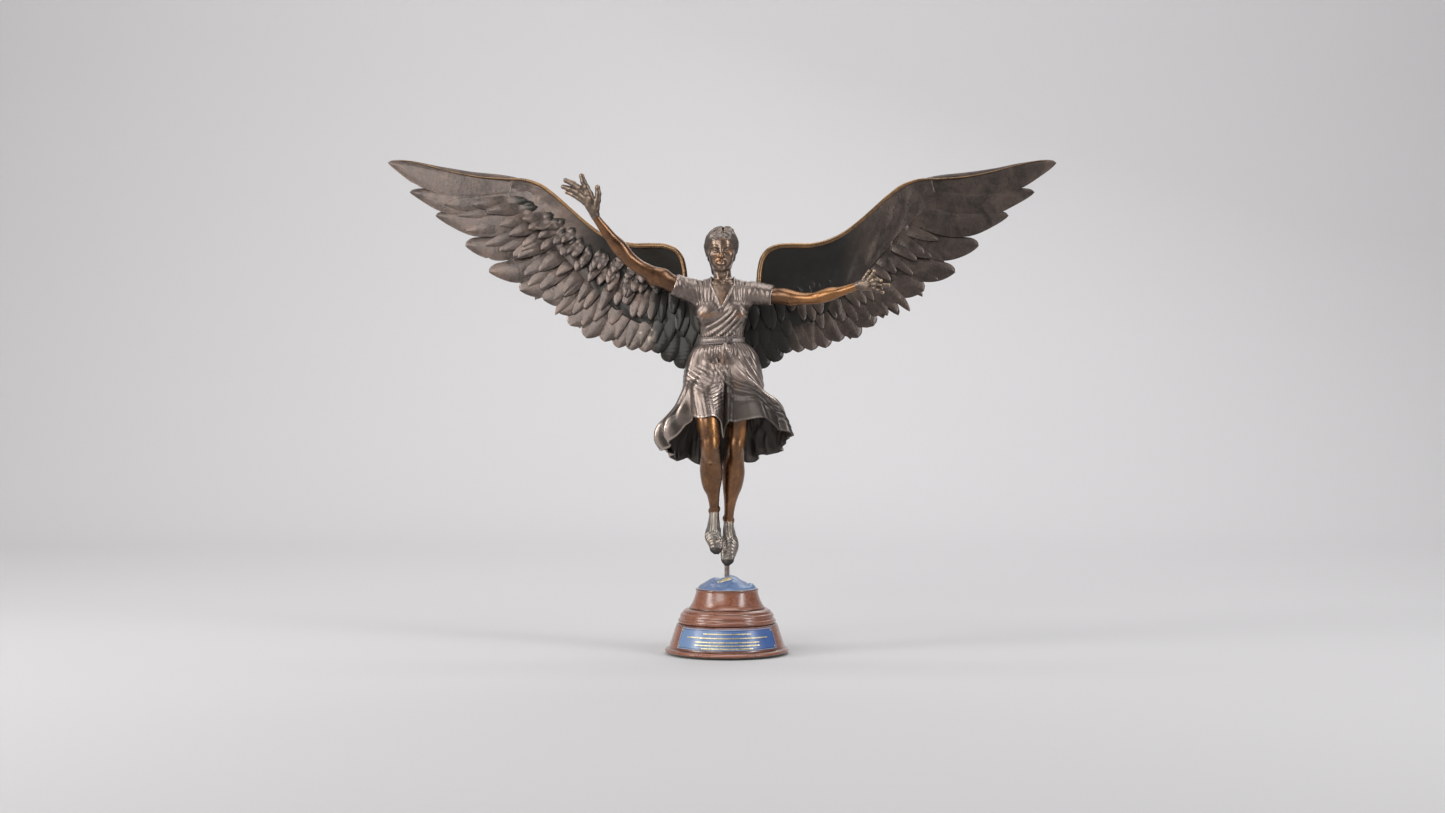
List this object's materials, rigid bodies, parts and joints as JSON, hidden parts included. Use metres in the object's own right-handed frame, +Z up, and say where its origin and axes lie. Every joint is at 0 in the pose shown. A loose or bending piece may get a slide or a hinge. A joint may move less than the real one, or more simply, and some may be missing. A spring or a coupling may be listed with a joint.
{
  "type": "figure trophy",
  "caption": "Cast winged figure in a short dress, arms spread and on tiptoe, carried by a steel rod over a round turned wooden base with a curved name plate.",
  "frame": {"origin": "centre of the base's underside, on the base's axis", "axes": "+Z up; the figure faces -Y; +X is the figure's own left"},
  "size_m": [0.5482, 0.099, 0.4001],
  "materials": {
    "bronze_skin": "warm brown patinated bronze, waxed",
    "bronze_dress": "grey-brown patinated bronze, satin",
    "bronze_wing": "dark patina, rubbed to gold along the edges",
    "bronze_hair": "dark brown patinated bronze",
    "wood": "reddish-brown gloss varnish",
    "blue_enamel": "blue enamel, satin",
    "gilt": "gilt",
    "steel": "polished",
    "iron": "as cast",
    "felt": "felt"
  },
  "bodies": {
    "root": {"felt_pad": "felt", "base_plinth": "wood", "base_ring": "wood", "base_neck": "wood", "base_cap": "blue_enamel", "name_plate": "blue_enamel", "plate_rules": "gilt", "plate_pins": "gilt", "ballast_disc": "iron", "support_rod": "steel", "base_nut": "steel", "base_washer": "steel", "cap_nut": "steel", "cap_washer": "steel", "left_foot": "bronze_dress", "right_foot": "bronze_dress", "left_leg": "bronze_skin", "right_leg": "bronze_skin", "skirt": "bronze_dress", "waist_belt": "bronze_dress", "torso": "bronze_dress", "head": "bronze_skin", "hair": "bronze_hair", "right_arm": "bronze_skin", "left_arm": "bronze_skin", "right_hand": "bronze_dress", "left_hand": "bronze_dress", "left_wing": "bronze_wing", "right_wing": "bronze_wing", "wing_saddle": "bronze_dress", "wing_clamp": "bronze_dress", "wing_screws": "steel", "neck_dowel": "steel", "shoulder_dowels": "steel", "wrist_dowels": "steel", "hip_dowels": "steel", "ankle_dowels": "steel", "waist_stud": "steel"}
  },
  "joints": []
}
